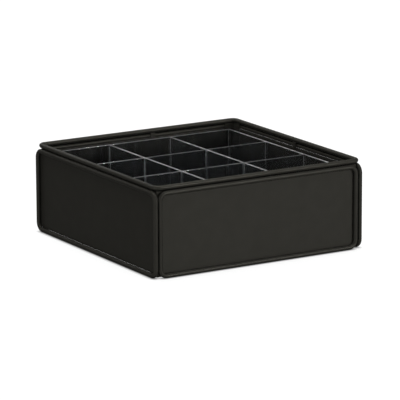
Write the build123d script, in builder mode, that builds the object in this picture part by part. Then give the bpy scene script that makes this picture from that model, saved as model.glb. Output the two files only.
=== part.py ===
from build123d import *
from math import cos, radians, sin, sqrt
import os

# Condiment organizer: an open black steel box made of bent round wire and sheet, with a loose
# clear tray inside it that is divided into nine square compartments.
# Millimetres, +Z up. The origin is the middle of the footprint, on the surface that the box
# stands on. The front looks along -Y, and the left side along -X.

# Steel box: four closed wire loops, one to a side, stand around the footprint
box_width = 305.0           # along X, over the side loops
box_depth = 305.0           # along Y, over the front and back loops
loop_height = 110.0         # over the top and bottom wires of a loop
wire_diameter = 6.0
loop_bend_radius = 9.5      # to the middle of the wire
bend_steps = 6              # equal turns that a loop's wire takes round each bend
upright_gap = 0.1           # between the two uprights that stand side by side at a corner

# Rim: one closed wire that runs round the top, on the corner angles
rim_wire_diameter = 6.0
rim_bend_radius = 7.7       # to the middle of the wire
rim_inset = 1.5             # from the outer faces of the loops to the outer edge of the rim
rim_rise = 0.8              # air between the tops of the loops and the rim

# Sheet pieces of the box
panel_thickness = 1.2
base_thickness = 1.2
angle_leg = 15.0
angle_thickness = 1.5
angle_inner_bend = 0.8
angle_foot_rise = 1.5       # from the surface below to the foot of the angle
tab_width = 7.0
tab_thickness = 1.5
tab_reach = 2.2             # how far a tab reaches below the middle of the loop's top wire
tab_shifts = {"front": 0.0, "back": 20.0, "left": 0.0, "right": -3.0}

# Clear tray
tray_side_play = 5.45       # to the corner angles, each side of a tray that stands centred
tray_back_gap = 0.5         # the tray is pushed back until this is left behind it
tray_left_shift = 1.0
tray_seat_gap = 0.2         # under the tray floor
tray_drop = 6.8             # from the tops of the loops down to the top of the tray
tray_floor_thickness = 3.0
tray_wall_thickness = 3.0
divider_thickness = 3.0
lap_gap = 0.1               # each side of a divider in the slot that it crosses

# Hairline between faces that a weld or a glue line joins
weld_gap = 0.05
glue_gap = 0.05

# Places that follow from the sizes above
wire_radius = wire_diameter / 2
rim_wire_radius = rim_wire_diameter / 2
loop_x = box_width / 2 - wire_radius
loop_y = box_depth / 2 - wire_radius
front_upright_x = loop_x - wire_diameter - upright_gap
loop_low_z = wire_radius
loop_high_z = loop_height - wire_radius
loop_mid_z = (loop_low_z + loop_high_z) / 2

# Planes that touch the loops from inside, and the planes of what is welded against them
inner_x = loop_x - wire_radius
inner_y = loop_y - wire_radius
seat_x = inner_x - weld_gap
seat_y = inner_y - weld_gap

# The rim lies inside the loops' outer faces
rim_x = box_width / 2 - rim_inset - rim_wire_radius
rim_y = box_depth / 2 - rim_inset - rim_wire_radius
rim_z = loop_height + rim_rise + rim_wire_radius

# A panel's inner face lies in the plane that touches the wires, and its edge ends where its
# outer face meets the round of the wire
panel_edge_inset = sqrt(wire_radius**2 - (wire_radius - panel_thickness) ** 2) + weld_gap
panel_height = loop_high_z - loop_low_z - 2 * panel_edge_inset
panel_corner_radius = loop_bend_radius - panel_edge_inset

base_top_z = wire_diameter

# The tray fills the box between the corner angles, less its play
tray_width = 2 * (seat_x - angle_thickness - tray_side_play)
tray_depth = 2 * (seat_y - angle_thickness - tray_side_play)
tray_x = -tray_left_shift
tray_y = tray_side_play - tray_back_gap
tray_low_z = base_top_z + tray_seat_gap
tray_high_z = loop_height - tray_drop
wall_low_z = tray_low_z + tray_floor_thickness + glue_gap
wall_height = tray_high_z - wall_low_z
tray_inner_width = tray_width - 2 * tray_wall_thickness
tray_inner_depth = tray_depth - 2 * tray_wall_thickness
compartment_width = (tray_inner_width - 2 * divider_thickness) / 3
compartment_depth = (tray_inner_depth - 2 * divider_thickness) / 3
divider_x = (compartment_width + divider_thickness) / 2
divider_y = (compartment_depth + divider_thickness) / 2
lap_slot_width = divider_thickness + 2 * lap_gap
lap_slot_depth = wall_height / 2 + lap_gap / 2

os.makedirs("parts", exist_ok=True)


def bend_points(middle_x, middle_z, start_angle):
    """The corners of a bend's equal turns. They lie just outside its arc, so each run between
    them touches it."""
    turn = 90 / bend_steps
    reach = loop_bend_radius / cos(radians(turn / 2))
    angles = [radians(start_angle + (step + 0.5) * turn) for step in range(bend_steps)]
    return [(middle_x + reach * cos(angle), middle_z + reach * sin(angle)) for angle in angles]


def loop_points(half_length):
    """All corners of a loop, from its low right bend round to its low left one."""
    far = half_length - loop_bend_radius
    low = loop_low_z + loop_bend_radius
    high = loop_high_z - loop_bend_radius
    bends = [(far, low, -90), (far, high, 0), (-far, high, 90), (-far, low, 180)]
    return [point for bend in bends for point in bend_points(*bend)]


# Wire loops: the side loops are as deep as the box, and the front and back loops stand
# between their uprights
loop_places = {
    "front": (Plane.XZ.offset(loop_y), front_upright_x),
    "back": (Plane.XZ.offset(-loop_y), front_upright_x),
    "left": (Plane.YZ.offset(-loop_x), loop_y),
    "right": (Plane.YZ.offset(loop_x), loop_y),
}
for side, (plane, half_length) in loop_places.items():
    with BuildPart() as loop:
        with BuildLine(plane) as loop_route:
            Polyline(*loop_points(half_length), close=True)
        with BuildSketch(Plane(origin=loop_route.line @ 0, z_dir=loop_route.line % 0)):
            Circle(wire_radius)
        sweep(transition=Transition.RIGHT)
    loop.part.label = f"{side}_loop"
    export_step(loop.part, f"parts/{side}_loop.step")

# Rim wire
with BuildPart() as rim_wire:
    with BuildLine(Plane.XY.offset(rim_z)) as rim_route:
        FilletPolyline(
            (-rim_x, -rim_y),
            (rim_x, -rim_y),
            (rim_x, rim_y),
            (-rim_x, rim_y),
            radius=rim_bend_radius,
            close=True,
        )
    with BuildSketch(Plane(origin=rim_route.line @ 0, z_dir=rim_route.line % 0)):
        Circle(rim_wire_radius)
    sweep()
rim_wire.part.label = "rim_wire"
export_step(rim_wire.part, "parts/rim_wire.step")

# Panels: a flat sheet with round corners closes each loop, behind the middle of its wire
panel_places = {
    "front": (Plane.XZ.offset(inner_y), front_upright_x, 1),
    "back": (Plane.XZ.offset(-inner_y), front_upright_x, -1),
    "left": (Plane.YZ.offset(-inner_x), loop_y, -1),
    "right": (Plane.YZ.offset(inner_x), loop_y, 1),
}
for side, (plane, half_length, outward) in panel_places.items():
    with BuildPart() as panel:
        with BuildSketch(plane):
            with Locations((0, loop_mid_z)):
                RectangleRounded(2 * (half_length - panel_edge_inset), panel_height, panel_corner_radius)
        extrude(amount=outward * panel_thickness)
    panel.part.label = f"{side}_panel"
    export_step(panel.part, f"parts/{side}_panel.step")

# Corner angles: bent sheet, welded inside the uprights, that carry the rim on their tops
angle_height = rim_z - rim_wire_radius - weld_gap - angle_foot_rise
corners = {
    "front_left": (-1, -1),
    "front_right": (1, -1),
    "back_left": (-1, 1),
    "back_right": (1, 1),
}
for corner, (side_x, side_y) in corners.items():
    arris = Vector(side_x * seat_x, side_y * seat_y)
    root = Vector(side_x * (seat_x - angle_thickness), side_y * (seat_y - angle_thickness))
    leg_end_x = side_x * (seat_x - angle_leg)
    leg_end_y = side_y * (seat_y - angle_leg)
    with BuildPart() as angle:
        with BuildSketch(Plane.XY.offset(angle_foot_rise)) as section:
            with BuildLine():
                Polyline(
                    (leg_end_x, arris.Y),
                    (arris.X, arris.Y),
                    (arris.X, leg_end_y),
                    (root.X, leg_end_y),
                    (root.X, root.Y),
                    (leg_end_x, root.Y),
                    close=True,
                )
            make_face()
            fillet(section.vertices().sort_by_distance(arris)[0], angle_inner_bend + angle_thickness)
            fillet(section.vertices().sort_by_distance(root)[0], angle_inner_bend)
        extrude(amount=angle_height)
    angle.part.label = f"corner_angle_{corner}"
    export_step(angle.part, f"parts/corner_angle_{corner}.step")

# Rim tabs: one small flat in each side, between the loop's top wire and the rim. Its top
# ends where its outer face meets the underside of the rim
tab_low_z = loop_high_z - tab_reach


def tab_height(rim_from_tab):
    rim_underside = rim_z - sqrt(max(rim_wire_radius**2 - rim_from_tab**2, 0))
    return rim_underside - weld_gap - tab_low_z


tab_places = {
    "front": (Plane.XZ.offset(seat_y), -1, tab_height(rim_y - seat_y)),
    "back": (Plane.XZ.offset(-seat_y), 1, tab_height(rim_y - seat_y)),
    "left": (Plane.YZ.offset(-seat_x), 1, tab_height(rim_x - seat_x)),
    "right": (Plane.YZ.offset(seat_x), -1, tab_height(rim_x - seat_x)),
}
for side, (plane, inward, height) in tab_places.items():
    with BuildPart() as tab:
        with BuildSketch(plane):
            with Locations((tab_shifts[side], tab_low_z + height / 2)):
                Rectangle(tab_width, height)
        extrude(amount=inward * tab_thickness)
    tab.part.label = f"{side}_rim_tab"
    export_step(tab.part, f"parts/{side}_rim_tab.step")

# Base plate: fits between the loops and is notched round the corner angles
leg_notch = angle_leg + weld_gap
wall_notch = angle_thickness + weld_gap
with BuildPart() as base_plate:
    with BuildSketch(Plane.XY.offset(base_top_z - base_thickness)) as outline:
        Rectangle(2 * seat_x, 2 * seat_y)
        for side_x, side_y in corners.values():
            with Locations((side_x * (seat_x - leg_notch / 2), side_y * (seat_y - wall_notch / 2))):
                Rectangle(leg_notch, wall_notch, mode=Mode.SUBTRACT)
            with Locations((side_x * (seat_x - wall_notch / 2), side_y * (seat_y - leg_notch / 2))):
                Rectangle(wall_notch, leg_notch, mode=Mode.SUBTRACT)
            notch_root = Vector(side_x * (seat_x - wall_notch), side_y * (seat_y - wall_notch))
            fillet(outline.vertices().sort_by_distance(notch_root)[0], angle_inner_bend)
    extrude(amount=base_thickness)
base_plate.part.label = "base_plate"
export_step(base_plate.part, "parts/base_plate.step")

# Tray floor
with BuildPart() as tray_floor:
    with BuildSketch(Plane.XY.offset(tray_low_z)):
        with Locations((tray_x, tray_y)):
            Rectangle(tray_width, tray_depth)
    extrude(amount=tray_floor_thickness)
tray_floor.part.label = "tray_floor"
export_step(tray_floor.part, "parts/tray_floor.step")

# Tray walls: they stand on the floor, the side walls as deep as the tray and the front and
# back walls between them
wall_x = (tray_width - tray_wall_thickness) / 2
wall_y = (tray_depth - tray_wall_thickness) / 2
wall_places = {
    "front": (tray_x, tray_y - wall_y, tray_inner_width - 2 * glue_gap, tray_wall_thickness),
    "back": (tray_x, tray_y + wall_y, tray_inner_width - 2 * glue_gap, tray_wall_thickness),
    "left": (tray_x - wall_x, tray_y, tray_wall_thickness, tray_depth),
    "right": (tray_x + wall_x, tray_y, tray_wall_thickness, tray_depth),
}
for side, (wall_at_x, wall_at_y, along_x, along_y) in wall_places.items():
    with BuildPart() as wall:
        with BuildSketch(Plane.XY.offset(wall_low_z)):
            with Locations((wall_at_x, wall_at_y)):
                Rectangle(along_x, along_y)
        extrude(amount=wall_height)
    wall.part.label = f"tray_{side}_wall"
    export_step(wall.part, f"parts/tray_{side}_wall.step")

# Long dividers: front to back, slotted from the top down to the middle for the cross dividers
for side, shift in {"left": -divider_x, "right": divider_x}.items():
    with BuildPart() as long_divider:
        with BuildSketch(Plane.YZ.offset(tray_x + shift - divider_thickness / 2)):
            with Locations((tray_y, wall_low_z + wall_height / 2)):
                Rectangle(tray_inner_depth - 2 * glue_gap, wall_height)
            with Locations(
                (tray_y - divider_y, tray_high_z - lap_slot_depth / 2),
                (tray_y + divider_y, tray_high_z - lap_slot_depth / 2),
            ):
                Rectangle(lap_slot_width, lap_slot_depth, mode=Mode.SUBTRACT)
        extrude(amount=divider_thickness)
    long_divider.part.label = f"long_divider_{side}"
    export_step(long_divider.part, f"parts/long_divider_{side}.step")

# Cross dividers: side to side, slotted from the bottom up to the middle for the long dividers
for side, shift in {"front": -divider_y, "back": divider_y}.items():
    with BuildPart() as cross_divider:
        with BuildSketch(Plane.XZ.offset(-(tray_y + shift + divider_thickness / 2))):
            with Locations((tray_x, wall_low_z + wall_height / 2)):
                Rectangle(tray_inner_width - 2 * glue_gap, wall_height)
            with Locations(
                (tray_x - divider_x, wall_low_z + lap_slot_depth / 2),
                (tray_x + divider_x, wall_low_z + lap_slot_depth / 2),
            ):
                Rectangle(lap_slot_width, lap_slot_depth, mode=Mode.SUBTRACT)
        extrude(amount=divider_thickness)
    cross_divider.part.label = f"cross_divider_{side}"
    export_step(cross_divider.part, f"parts/cross_divider_{side}.step")
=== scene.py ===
"""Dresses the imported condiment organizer: a black steel box of bent rod and sheet, and the clear
divided tray that stands loose in it. Metres, +Z up, the front looks along -Y."""
import math

import bmesh
import bpy
from mathutils import Matrix, Vector


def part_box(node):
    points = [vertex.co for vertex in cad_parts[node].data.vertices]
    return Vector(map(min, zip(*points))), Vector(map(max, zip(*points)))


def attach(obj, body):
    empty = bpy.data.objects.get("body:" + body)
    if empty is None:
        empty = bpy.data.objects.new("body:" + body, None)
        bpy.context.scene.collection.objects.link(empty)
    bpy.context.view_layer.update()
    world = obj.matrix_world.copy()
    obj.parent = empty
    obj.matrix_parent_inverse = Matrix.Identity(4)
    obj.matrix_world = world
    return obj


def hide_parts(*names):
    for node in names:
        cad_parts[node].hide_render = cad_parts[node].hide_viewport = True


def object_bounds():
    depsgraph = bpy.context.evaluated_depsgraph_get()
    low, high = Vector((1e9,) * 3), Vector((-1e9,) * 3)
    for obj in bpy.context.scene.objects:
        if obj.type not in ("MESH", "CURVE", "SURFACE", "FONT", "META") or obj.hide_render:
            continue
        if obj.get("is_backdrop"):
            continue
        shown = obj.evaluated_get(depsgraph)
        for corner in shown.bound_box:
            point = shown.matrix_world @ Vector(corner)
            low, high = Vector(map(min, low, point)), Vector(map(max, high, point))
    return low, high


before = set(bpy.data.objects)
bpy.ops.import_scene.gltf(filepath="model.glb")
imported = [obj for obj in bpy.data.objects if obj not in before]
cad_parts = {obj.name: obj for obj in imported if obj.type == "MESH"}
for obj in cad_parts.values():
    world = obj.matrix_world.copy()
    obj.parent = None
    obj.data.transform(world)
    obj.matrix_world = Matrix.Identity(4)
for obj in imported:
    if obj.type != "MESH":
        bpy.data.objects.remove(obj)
cad_low, cad_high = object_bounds()

MM = 0.001
X, Y, Z = 0, 1, 2
QUARTER_TURN = math.pi / 2
SHARP_EDGE = math.radians(40)     # edges that bend more than this are rounded
SAME_PLANE = math.radians(1)      # faces that bend less than this become one
SAME_POINT = 0.002 * MM           # points nearer than this become one
TOUCHING = 0.01 * MM
EDGE_STEPS = 3
CUT_FACE = 0.9                    # a clear sheet's faces that lean over more than this were cut

# Bent rod
ROD_SIDES = 28
BEND_STEPS = 10
LOOP_BEND = 9.5 * MM
RIM_BEND = 7.7 * MM

# Sheet steel
PANEL_CORNER = 7.05 * MM
PANEL_CORNER_STEPS = 10
PANEL_EDGE = 0.3 * MM
STEEL_EDGE = 0.22 * MM
ANGLE_OUTER_BEND = 2.3 * MM
ANGLE_BEND_STEPS = 8
ANGLE_LEG = 15 * MM
ANGLE_THICKNESS = 1.5 * MM
NOTCH_GAP = 0.05 * MM

# Thin run that closes the gap between the rim and the loops, coated nearly black: a dark fill of
# painted shade, put where the gap shows only shade
SEAM_RADIUS = 0.72 * MM
SEAM_INSET = 4.92 * MM
SEAM_HEIGHT = 110.14 * MM
SEAM_BEND = 7.0 * MM

# Nearly black strips in the grooves between the uprights: painted shade, put where the grooves show
# only shade
CORNER_SHADE_RADIUS = 0.65 * MM
CORNER_SHADE_X = 146.45 * MM
CORNER_SHADE_Y = 151.5 * MM
CORNER_SHADE_FOOT = 12 * MM
CORNER_SHADE_TOP = 98 * MM
STRIP_SIDES = 14
STRIP_TIP = 0.3                    # width of a run's ends against its full width

# Clear sheet
CLEAR_EDGE = 0.45 * MM
LAP_GAP = 0.1 * MM

# Finishes
COAT_DARK = (0.0305, 0.0294, 0.0252, 1)
COAT_LIGHT = (0.0325, 0.0314, 0.0270, 1)
# Tones of the nearly black coat in the gaps and grooves: painted shade
PAINTED_SHADE_DARK = (0.003, 0.003, 0.0026, 1)
PAINTED_SHADE_LIGHT = (0.007, 0.007, 0.006, 1)
BLACK = (0, 0, 0, 1)
WHITE = (1, 1, 1, 1)
CLEAR_TINT = (0.90, 0.93, 0.95, 1)
CUT_TINT = (0.86, 0.88, 0.90, 1)
ACRYLIC_IOR = 1.49

# Studio
FLOOR_SIZE = 30
FLOOR_GREY = (0.1, 0.1, 0.1, 1)
FLOOR_WHITENESS = 0.9
CONTACT_SHADE = 5 * MM            # how far the shade under the wires reaches
AIR_TINT = (0.98, 0.99, 1.0, 1)
HORIZON_LEVEL, CEILING_LEVEL = 0.9, 0.14
HORIZON_TOP, CEILING_START = 0.04, 0.2
LAMPS = (                         # name, place, aim, width, height, watts
    ("overhead", (0.1, 0.1, 1.7), (0, 0, 0.05), 1.8, 1.8, 44),
    ("front_left", (-2.35, -0.55, 0.62), (0, 0, 0.06), 0.5, 0.6, 13),
    ("front_right", (1.1, -2.4, 0.66), (0, 0, 0.06), 0.5, 0.6, 35),
    ("back_window", (-0.1, 2.5, 1.35), (0, 0, 0.08), 2.2, 0.9, 56),
)
CAMERA_AZIMUTH = math.radians(31.175)
CAMERA_ELEVATION = math.radians(13.218)
CAMERA_ROLL = math.radians(-0.222)
CAMERA_AIM = Vector((3.09, -1.87, 51.71)) * MM
CAMERA_DISTANCE = 4.2185
LENS_MM, SENSOR_MM = 296.87, 36


# Workshop helpers

def deselect_all():
    bpy.ops.object.select_all(action="DESELECT")


def pick(piece):
    """Makes the piece the only one selected."""
    deselect_all()
    bpy.context.view_layer.objects.active = piece
    piece.select_set(True)


def working_piece(name):
    """Names the piece that was just added and puts its place into its mesh."""
    piece = bpy.context.object
    piece.name = name
    piece.data.name = name
    bpy.ops.object.transform_apply(location=True, rotation=True, scale=True)
    return piece


def start_edit(piece):
    pick(piece)
    bpy.ops.object.mode_set(mode="EDIT")
    bpy.ops.mesh.select_all(action="SELECT")


def end_edit():
    bpy.ops.mesh.select_all(action="SELECT")
    bpy.ops.mesh.remove_doubles(threshold=SAME_POINT)
    bpy.ops.mesh.normals_make_consistent(inside=False)
    bpy.ops.object.mode_set(mode="OBJECT")


def select_faces(test):
    """Selects the faces that pass the test."""
    bpy.ops.mesh.select_mode(type="FACE")
    bpy.ops.mesh.select_all(action="DESELECT")
    mesh = bmesh.from_edit_mesh(bpy.context.edit_object.data)
    for face in mesh.faces:
        face.select_set(test(face))
    mesh.select_flush_mode()
    bmesh.update_edit_mesh(bpy.context.edit_object.data)


def select_edges(test):
    """Selects the edges whose middle passes the test."""
    bpy.ops.mesh.select_mode(type="EDGE")
    bpy.ops.mesh.select_all(action="DESELECT")
    mesh = bmesh.from_edit_mesh(bpy.context.edit_object.data)
    for edge in mesh.edges:
        edge.select_set(test((edge.verts[0].co + edge.verts[1].co) / 2))
    mesh.select_flush_mode()
    bmesh.update_edit_mesh(bpy.context.edit_object.data)


def apply_modifier(piece, kind, **settings):
    pick(piece)
    bpy.ops.object.modifier_add(type=kind)
    modifier = piece.modifiers[-1]
    for key, value in settings.items():
        setattr(modifier, key, value)
    bpy.ops.object.modifier_apply(modifier=modifier.name)


def soften_edges(piece, width):
    """Rounds every sharp edge a little and keeps the flats flat."""
    pick(piece)
    bpy.ops.object.shade_smooth()
    apply_modifier(piece, "BEVEL", width=width, segments=EDGE_STEPS, limit_method="ANGLE",
                   angle_limit=SHARP_EDGE, harden_normals=True)


def copy_of(piece, name, move=(0, 0, 0), quarter_turns=0):
    """A copy with its own mesh, moved, or turned about the middle of the box."""
    pick(piece)
    bpy.ops.object.duplicate(linked=False)
    twin = bpy.context.object
    twin.name = name
    twin.data.name = name
    turn = Matrix.Rotation(quarter_turns * QUARTER_TURN, 4, "Z")
    twin.matrix_world = Matrix.Translation(move) @ turn
    bpy.ops.object.transform_apply(location=True, rotation=True, scale=True)
    return twin


def unit(axis):
    return Vector([float(axis == i) for i in range(3)])


def bend_round(centre, axis, steps):
    """Bends what is selected on by a quarter turn. Spin turns left-handed about its axis."""
    bpy.ops.mesh.spin(steps=steps, angle=-QUARTER_TURN, center=centre, axis=axis)


def draw_out(move):
    """Extrudes the selected faces by a move."""
    bpy.ops.mesh.extrude_region_move(TRANSFORM_OT_translate={"value": move})


def draw_edges(move):
    """Extrudes the selected edges by a move."""
    bpy.ops.mesh.extrude_edges_move(TRANSFORM_OT_translate={"value": move})


# Steel pieces

def bent_rod(name, low, high, flat_along, bend_radius):
    """A closed loop of round rod: a circle is extruded along each run and spun round each bend."""
    first, second = [axis for axis in (X, Y, Z) if axis != flat_along]
    along, across = unit(first), unit(second)
    middle = (low + high) / 2
    rod_radius = (high[flat_along] - low[flat_along]) / 2
    half_first = (high[first] - low[first]) / 2 - rod_radius
    half_second = (high[second] - low[second]) / 2 - rod_radius
    run_first = 2 * (half_first - bend_radius)
    run_second = 2 * (half_second - bend_radius)
    start = middle - along * run_first / 2 - across * half_second
    facing = (0, QUARTER_TURN, 0) if first == X else (-QUARTER_TURN, 0, 0)
    deselect_all()
    bpy.ops.mesh.primitive_circle_add(vertices=ROD_SIDES, radius=rod_radius,
                                      location=start, rotation=facing)
    rod = working_piece(name)
    start_edit(rod)
    turn_axis = along.cross(across)
    runs = [(along, run_first), (across, run_second), (-along, run_first), (-across, run_second)]
    place = start
    for index, (direction, length) in enumerate(runs):
        inward = runs[(index + 1) % 4][0]
        draw_edges(direction * length)
        place = place + direction * length
        centre = place + inward * bend_radius
        bend_round(centre, turn_axis, BEND_STEPS)
        place = centre + direction * bend_radius
    end_edit()
    bpy.ops.object.shade_smooth()
    return rod


def flat_outline(name, low, high, thin):
    """A flat face in the lower plane of the thin direction, in edit mode."""
    middle = (low + high) / 2
    middle[thin] = low[thin]
    size = high - low
    size[thin] = 1
    facing = {X: (0, QUARTER_TURN, 0), Y: (-QUARTER_TURN, 0, 0), Z: (0, 0, 0)}[thin]
    deselect_all()
    bpy.ops.mesh.primitive_plane_add(size=1, location=middle, rotation=facing)
    bpy.ops.transform.resize(value=size)
    sheet = working_piece(name)
    start_edit(sheet)
    return sheet


def thicken(low, high, thin):
    bpy.ops.mesh.select_all(action="SELECT")
    draw_out(unit(thin) * (high[thin] - low[thin]))


def round_panel(name, node, thin):
    """A panel: its outline's corners are rounded, it is thickened, and its edges are softened."""
    low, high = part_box(node)
    panel = flat_outline(name, low, high, thin)
    bpy.ops.mesh.bevel(offset=PANEL_CORNER, offset_type="OFFSET", segments=PANEL_CORNER_STEPS,
                       affect="VERTICES")
    thicken(low, high, thin)
    end_edit()
    soften_edges(panel, PANEL_EDGE)
    return panel


def notched_sheet(name, low, high, thin, notches, softness):
    """A sheet with notches: the outline is cut at each notch's sides, the notch is taken out, and the
    rest is thickened. A notch is a box, given by its two corners."""
    sheet = flat_outline(name, low, high, thin)
    flat_axes = [axis for axis in (X, Y, Z) if axis != thin]
    for notch_low, notch_high in notches:
        for axis in flat_axes:
            for edge_at in (notch_low[axis], notch_high[axis]):
                if low[axis] < edge_at < high[axis]:
                    bpy.ops.mesh.select_all(action="SELECT")
                    bpy.ops.mesh.bisect(plane_co=unit(axis) * edge_at, plane_no=unit(axis))
    if notches:
        def in_a_notch(face):
            point = face.calc_center_median()
            return any(all(lo[axis] <= point[axis] <= hi[axis] for axis in flat_axes)
                       for lo, hi in notches)
        select_faces(in_a_notch)
        bpy.ops.mesh.delete(type="FACE")
        bpy.ops.mesh.select_all(action="SELECT")
        bpy.ops.mesh.dissolve_limited(angle_limit=SAME_PLANE)
    thicken(low, high, thin)
    end_edit()
    soften_edges(sheet, softness)
    return sheet


def plain_sheet(name, node, thin, softness):
    """A sheet without notches, in the place of a node."""
    low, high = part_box(node)
    return notched_sheet(name, low, high, thin, [], softness)


def corner_angle(name, node):
    """A bent angle: one leg is drawn flat, its edge is spun round the bend, and the other leg is
    extruded before the sheet gets its thickness."""
    low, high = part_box(node)
    height = high.z - low.z
    leg_flat = ANGLE_LEG - ANGLE_OUTER_BEND
    deselect_all()
    bpy.ops.mesh.primitive_plane_add(size=1, rotation=(QUARTER_TURN, 0, 0),
                                     location=(high.x - leg_flat / 2, low.y, low.z + height / 2))
    bpy.ops.transform.resize(value=(leg_flat, 1, height))
    angle = working_piece(name)
    start_edit(angle)
    bend_x = low.x + ANGLE_OUTER_BEND
    select_edges(lambda point: point.x < bend_x + TOUCHING)
    bend_round(Vector((bend_x, low.y + ANGLE_OUTER_BEND, low.z)), -unit(Z), ANGLE_BEND_STEPS)
    draw_edges((0, leg_flat, 0))
    end_edit()
    apply_modifier(angle, "SOLIDIFY", thickness=ANGLE_THICKNESS, offset=-1, use_even_offset=True)
    soften_edges(angle, STEEL_EDGE)
    return angle


def shade_strip(name, foot, length, radius):
    """An upright strip of painted shade for a groove: a small disc swells to the full width, runs on
    and narrows again.
    """
    deselect_all()
    bpy.ops.mesh.primitive_circle_add(vertices=STRIP_SIDES, radius=radius * STRIP_TIP,
                                      fill_type="NGON", location=foot)
    run = working_piece(name)
    start_edit(run)
    draw_out((0, 0, radius))
    bpy.ops.transform.resize(value=(1 / STRIP_TIP, 1 / STRIP_TIP, 1))
    draw_out((0, 0, length - 2 * radius))
    draw_out((0, 0, radius))
    bpy.ops.transform.resize(value=(STRIP_TIP, STRIP_TIP, 1))
    end_edit()
    bpy.ops.object.shade_smooth()
    return run


# Finishes

def new_finish(name):
    """A new finish, its node tree and its shader."""
    finish = bpy.data.materials.new(name)
    finish.use_nodes = True
    return finish, finish.node_tree, finish.node_tree.nodes["Principled BSDF"]


def grain_of(tree, scale, detail):
    """Noise in the piece's own coordinates."""
    place = tree.nodes.new("ShaderNodeTexCoord")
    grain = tree.nodes.new("ShaderNodeTexNoise")
    grain.inputs["Scale"].default_value = scale
    grain.inputs["Detail"].default_value = detail
    tree.links.new(place.outputs["Object"], grain.inputs["Vector"])
    return grain.outputs["Fac"]


def tint_by(tree, shader, grain, dark, light, dark_at=0.0, light_at=1.0):
    """The noise moves the colour between two tones."""
    tone = tree.nodes.new("ShaderNodeValToRGB")
    for stop, at, colour in zip(tone.color_ramp.elements, (dark_at, light_at), (dark, light)):
        stop.position = at
        stop.color = colour
    tree.links.new(grain, tone.inputs["Fac"])
    tree.links.new(tone.outputs["Color"], shader.inputs["Base Color"])


def roughen_by(tree, shader, grain, smoothest, roughest):
    """The noise moves the roughness between two levels."""
    level = tree.nodes.new("ShaderNodeMapRange")
    level.inputs["To Min"].default_value = smoothest
    level.inputs["To Max"].default_value = roughest
    tree.links.new(grain, level.inputs["Value"])
    tree.links.new(level.outputs["Result"], shader.inputs["Roughness"])


def powder_coat():
    """Satin black powder coat: a near-black warm grey with the fine orange peel of the baked powder.
    Its sheen fades where it is seen flat along, which keeps the left side as dark as in the photo."""
    finish, tree, shader = new_finish("black_powder_coat")
    cloud = grain_of(tree, 60, 4)
    tint_by(tree, shader, cloud, COAT_DARK, COAT_LIGHT, 0.35, 0.65)
    roughen_by(tree, shader, cloud, 0.35, 0.4)
    peel = tree.nodes.new("ShaderNodeBump")
    peel.inputs["Strength"].default_value = 0.25
    peel.inputs["Distance"].default_value = 0.05 * MM
    tree.links.new(grain_of(tree, 900, 2), peel.inputs["Height"])
    tree.links.new(peel.outputs["Normal"], shader.inputs["Normal"])
    shader.inputs["Metallic"].default_value = 0.4
    shader.inputs["Specular IOR Level"].default_value = 0.01
    shader.inputs["Specular Tint"].default_value = BLACK
    return finish


def painted_shade_finish():
    """Nearly black, dull coat for the pieces in the gaps and grooves: painted shade, far darker than
    the coat, standing for the shade in those deep joints.
    """
    finish, tree, shader = new_finish("black_coat_painted_shade")
    tint_by(tree, shader, grain_of(tree, 400, 2), PAINTED_SHADE_DARK, PAINTED_SHADE_LIGHT)
    shader.inputs["Roughness"].default_value = 0.8
    shader.inputs["Specular IOR Level"].default_value = 0
    return finish


def clear_acrylic():
    """Clear acrylic sheet: glass clear with a trace of cool grey and very faint wipe marks."""
    finish, tree, shader = new_finish("clear_acrylic")
    roughen_by(tree, shader, grain_of(tree, 40, 5), 0, 0.03)
    shader.inputs["Base Color"].default_value = CLEAR_TINT
    shader.inputs["Transmission Weight"].default_value = 0.996
    shader.inputs["IOR"].default_value = ACRYLIC_IOR
    return finish


def cut_edge(name, clearness):
    """Cut edge of the same sheet: whitish frosting that lets less light through where its clearness is
    lower. Its two copies are painted light: the whiter one, on the floor, walls and long dividers,
    stands for edges that catch more light, and the clearer one on the cross dividers for edges in
    shade.
    """
    finish, tree, shader = new_finish(name)
    roughen_by(tree, shader, grain_of(tree, 1200, 3), 0.22, 0.38)
    shader.inputs["Base Color"].default_value = CUT_TINT
    shader.inputs["Transmission Weight"].default_value = clearness
    shader.inputs["IOR"].default_value = ACRYLIC_IOR
    return finish


coat = powder_coat()
shade_coat = painted_shade_finish()
clear = clear_acrylic()
# A whiter and a clearer copy of the cut edge: painted highlight and painted shade on the edges
sawn_edge_and_highlight = cut_edge("clear_acrylic_sawn_edge_and_highlight", 0.93)
scraped_edge_and_shade = cut_edge("clear_acrylic_scraped_edge_and_shade", 0.992)


def finish_piece(piece, finish, body, slot, *nodes):
    piece.data.materials.clear()
    piece.data.materials.append(finish)
    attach(piece, body)
    if nodes:
        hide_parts(*nodes)


def steel(piece, *nodes):
    finish_piece(piece, coat, "box", "black_powder_coat", *nodes)


# Gives a piece the nearly black coat of painted shade
def paint_shade_on(piece):
    finish_piece(piece, shade_coat, "box", "black_powder_coat")


def acrylic(piece, thin, edge_finish, *nodes):
    """Clear faces, and another finish on the cut edges between them."""
    finish_piece(piece, clear, "tray", "clear_acrylic", *nodes)
    piece.data.materials.append(edge_finish)
    start_edit(piece)
    select_faces(lambda face: abs(face.normal[thin]) < CUT_FACE)
    piece.active_material_index = 1
    bpy.ops.object.material_slot_assign()
    bpy.ops.object.mode_set(mode="OBJECT")


# The box
steel(bent_rod("rim_rod", *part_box("rim_wire"), Z, RIM_BEND), "rim_wire")

# Painted shade: the nearly black fill in the gap between the rim and the loops
seam_reach = Vector((cad_high.x - SEAM_INSET, cad_high.y - SEAM_INSET, 0))
seam_reach += Vector((1, 1, 0)) * SEAM_RADIUS
seam_level = Vector((0, 0, SEAM_HEIGHT))
seam_thick = Vector((0, 0, SEAM_RADIUS))
paint_shade_on(bent_rod("seam_shade_fill", seam_level - seam_reach - seam_thick, seam_level + seam_reach + seam_thick,
              Z, SEAM_BEND))

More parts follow.
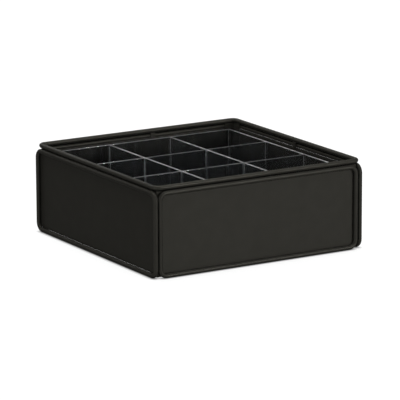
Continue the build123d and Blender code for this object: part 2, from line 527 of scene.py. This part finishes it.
for side, opposite, flat_along in (("front", "back", Y), ("left", "right", X)):
    rod = bent_rod(f"{side}_loop_rod", *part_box(f"{side}_loop"), flat_along, LOOP_BEND)
    steel(copy_of(rod, f"{opposite}_loop_rod", quarter_turns=2), f"{opposite}_loop")
    steel(rod, f"{side}_loop")

for side, opposite, thin in (("front", "back", Y), ("left", "right", X)):
    sheet = round_panel(f"{side}_sheet", f"{side}_panel", thin)
    steel(copy_of(sheet, f"{opposite}_sheet", quarter_turns=2), f"{opposite}_panel")
    steel(sheet, f"{side}_panel")

angle = corner_angle("angle_front_left", "corner_angle_front_left")
for turns, corner in enumerate(("front_right", "back_right", "back_left"), start=1):
    steel(copy_of(angle, f"angle_{corner}", quarter_turns=turns), f"corner_angle_{corner}")
steel(angle, "corner_angle_front_left")

# Painted shade: a dark strip in each corner groove between the uprights
corner_shade = shade_strip("corner_shade_front_left", (-CORNER_SHADE_X, -CORNER_SHADE_Y, CORNER_SHADE_FOOT),
                       CORNER_SHADE_TOP - CORNER_SHADE_FOOT, CORNER_SHADE_RADIUS)
paint_shade_on(copy_of(corner_shade, "corner_shade_front_right", move=(2 * CORNER_SHADE_X, 0, 0)))
paint_shade_on(copy_of(corner_shade, "corner_shade_back_right", quarter_turns=2))
paint_shade_on(copy_of(corner_shade, "corner_shade_back_left", move=(-2 * CORNER_SHADE_X, 0, 0), quarter_turns=2))
paint_shade_on(corner_shade)

for side, thin in (("front", Y), ("back", Y), ("left", X), ("right", X)):
    steel(plain_sheet(f"{side}_tab", f"{side}_rim_tab", thin, STEEL_EDGE), f"{side}_rim_tab")

low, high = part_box("base_plate")
notch = Vector((ANGLE_LEG + NOTCH_GAP, ANGLE_THICKNESS + NOTCH_GAP, 0))
notches = []
for side_x in (-1, 1):
    for side_y in (-1, 1):
        for reach in (notch, notch.yxz):
            corner = Vector((side_x * high.x, side_y * high.y, 0))
            other = corner - Vector((side_x * reach.x, side_y * reach.y, 0))
            notches.append((Vector(map(min, corner, other)), Vector(map(max, corner, other))))
steel(notched_sheet("base_sheet", low, high, Z, notches, STEEL_EDGE), "base_plate")

# The tray
acrylic(plain_sheet("clear_floor", "tray_floor", Z, CLEAR_EDGE), Z, sawn_edge_and_highlight, "tray_floor")

for side, opposite, thin in (("front", "back", Y), ("left", "right", X)):
    wall = plain_sheet(f"clear_{side}_wall", f"tray_{side}_wall", thin, CLEAR_EDGE)
    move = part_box(f"tray_{opposite}_wall")[0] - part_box(f"tray_{side}_wall")[0]
    twin = copy_of(wall, f"clear_{opposite}_wall", move=move)
    acrylic(wall, thin, sawn_edge_and_highlight, f"tray_{side}_wall")
    acrylic(twin, thin, sawn_edge_and_highlight, f"tray_{opposite}_wall")


def lap_slots(low, high, thin, crossed):
    """A divider's slots, where the ones in the other direction pass: from above in the long dividers,
    from below in the cross dividers."""
    crossing = Y if thin == X else X
    half_height = (high.z - low.z) / 2
    slots = []
    for other in crossed:
        other_low, other_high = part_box(other)
        slot_low, slot_high = Vector(low), Vector(high)
        slot_low[crossing] = other_low[crossing] - LAP_GAP
        slot_high[crossing] = other_high[crossing] + LAP_GAP
        if thin == X:
            slot_low.z = high.z - half_height - LAP_GAP / 2
        else:
            slot_high.z = low.z + half_height + LAP_GAP / 2
        slots.append((slot_low, slot_high))
    return slots


long_dividers = ("long_divider_left", "long_divider_right")
cross_dividers = ("cross_divider_front", "cross_divider_back")
for (node, twin_node), crossed, thin, edge_finish in (
        (long_dividers, cross_dividers, X, sawn_edge_and_highlight),
        (cross_dividers, long_dividers, Y, scraped_edge_and_shade)):
    low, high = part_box(node)
    slots = lap_slots(low, high, thin, crossed)
    divider = notched_sheet(f"clear_{node}", low, high, thin, slots, CLEAR_EDGE)
    twin = copy_of(divider, f"clear_{twin_node}", move=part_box(twin_node)[0] - low)
    acrylic(divider, thin, edge_finish, node)
    acrylic(twin, thin, edge_finish, twin_node)

# The CAD nodes that the pieces stand for carry the same finishes
for name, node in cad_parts.items():
    node.data.materials.clear()
    node.data.materials.append(clear if "tray" in name or "divider" in name else coat)


# Studio

def floor():
    """Pale paper that looks white to the camera and in reflections, and keeps the box's shadow."""
    deselect_all()
    bpy.ops.mesh.primitive_plane_add(size=FLOOR_SIZE, location=(0, 0, 0))
    ground = working_piece("studio_floor")
    paper, tree, shader = new_finish("white_paper")
    shader.inputs["Base Color"].default_value = FLOOR_GREY
    shader.inputs["Roughness"].default_value = 0.9
    shader.inputs["Specular IOR Level"].default_value = 0.1
    shader.inputs["Emission Color"].default_value = WHITE
    path = tree.nodes.new("ShaderNodeLightPath")
    contact = tree.nodes.new("ShaderNodeAmbientOcclusion")
    contact.samples = 12
    contact.inputs["Distance"].default_value = CONTACT_SHADE

    def reckon(operation, first, second):
        step = tree.nodes.new("ShaderNodeMath")
        step.operation = operation
        tree.links.new(first, step.inputs[0])
        tree.links.new(second, step.inputs[1])
        return step

    seen = reckon("ADD", path.outputs["Is Camera Ray"], path.outputs["Is Glossy Ray"])
    seen_clear = reckon("ADD", seen.outputs[0], path.outputs["Is Transmission Ray"])
    seen_clear.use_clamp = True
    white = reckon("MULTIPLY", seen_clear.outputs[0], contact.outputs["AO"])
    level = tree.nodes.new("ShaderNodeMath")
    level.operation = "MULTIPLY"
    level.inputs[1].default_value = FLOOR_WHITENESS
    tree.links.new(white.outputs[0], level.inputs[0])
    tree.links.new(level.outputs[0], shader.inputs["Emission Strength"])
    ground.data.materials.append(paper)
    ground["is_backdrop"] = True


def studio_air():
    """A dim room with a pale band of backdrop along the horizon."""
    world = bpy.data.worlds.new("studio_air")
    bpy.context.scene.world = world
    world.use_nodes = True
    nodes, links = world.node_tree.nodes, world.node_tree.links
    air = nodes["Background"]
    direction = nodes.new("ShaderNodeTexCoord")
    height = nodes.new("ShaderNodeSeparateXYZ")
    fade = nodes.new("ShaderNodeMapRange")
    fade.interpolation_type = "SMOOTHSTEP"
    fade.inputs["From Min"].default_value = HORIZON_TOP
    fade.inputs["From Max"].default_value = CEILING_START
    fade.inputs["To Min"].default_value = HORIZON_LEVEL
    fade.inputs["To Max"].default_value = CEILING_LEVEL
    links.new(direction.outputs["Generated"], height.inputs["Vector"])
    links.new(height.outputs["Z"], fade.inputs["Value"])
    links.new(fade.outputs["Result"], air.inputs["Strength"])
    air.inputs["Color"].default_value = AIR_TINT


def softbox(name, place, aim, width, height, watts):
    lamp = bpy.data.lights.new(name, "AREA")
    lamp.shape = "RECTANGLE"
    lamp.size = width
    lamp.size_y = height
    lamp.energy = watts
    box = bpy.data.objects.new(name, lamp)
    bpy.context.scene.collection.objects.link(box)
    box.location = place
    box.rotation_euler = (Vector(aim) - Vector(place)).to_track_quat("-Z", "Y").to_euler()


def photo_camera():
    """Stands where the photograph was taken from: 31 degrees round from the front, 13 up, 4.2 m off."""
    lens = bpy.data.cameras.new("photo_camera")
    camera = bpy.data.objects.new("photo_camera", lens)
    bpy.context.scene.collection.objects.link(camera)
    lens.sensor_width = SENSOR_MM
    lens.lens = LENS_MM
    lens.clip_end = 100
    facing = (Matrix.Rotation(-CAMERA_AZIMUTH, 3, "Z")
              @ Matrix.Rotation(QUARTER_TURN - CAMERA_ELEVATION, 3, "X")
              @ Matrix.Rotation(CAMERA_ROLL, 3, "Z"))
    camera.rotation_euler = facing.to_euler()
    camera.location = CAMERA_AIM + facing @ Vector((0, 0, CAMERA_DISTANCE))
    bpy.context.scene.camera = camera


floor()
studio_air()
for lamp in LAMPS:
    softbox(*lamp)
photo_camera()
bpy.context.scene.view_settings.view_transform = "Standard"

low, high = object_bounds()
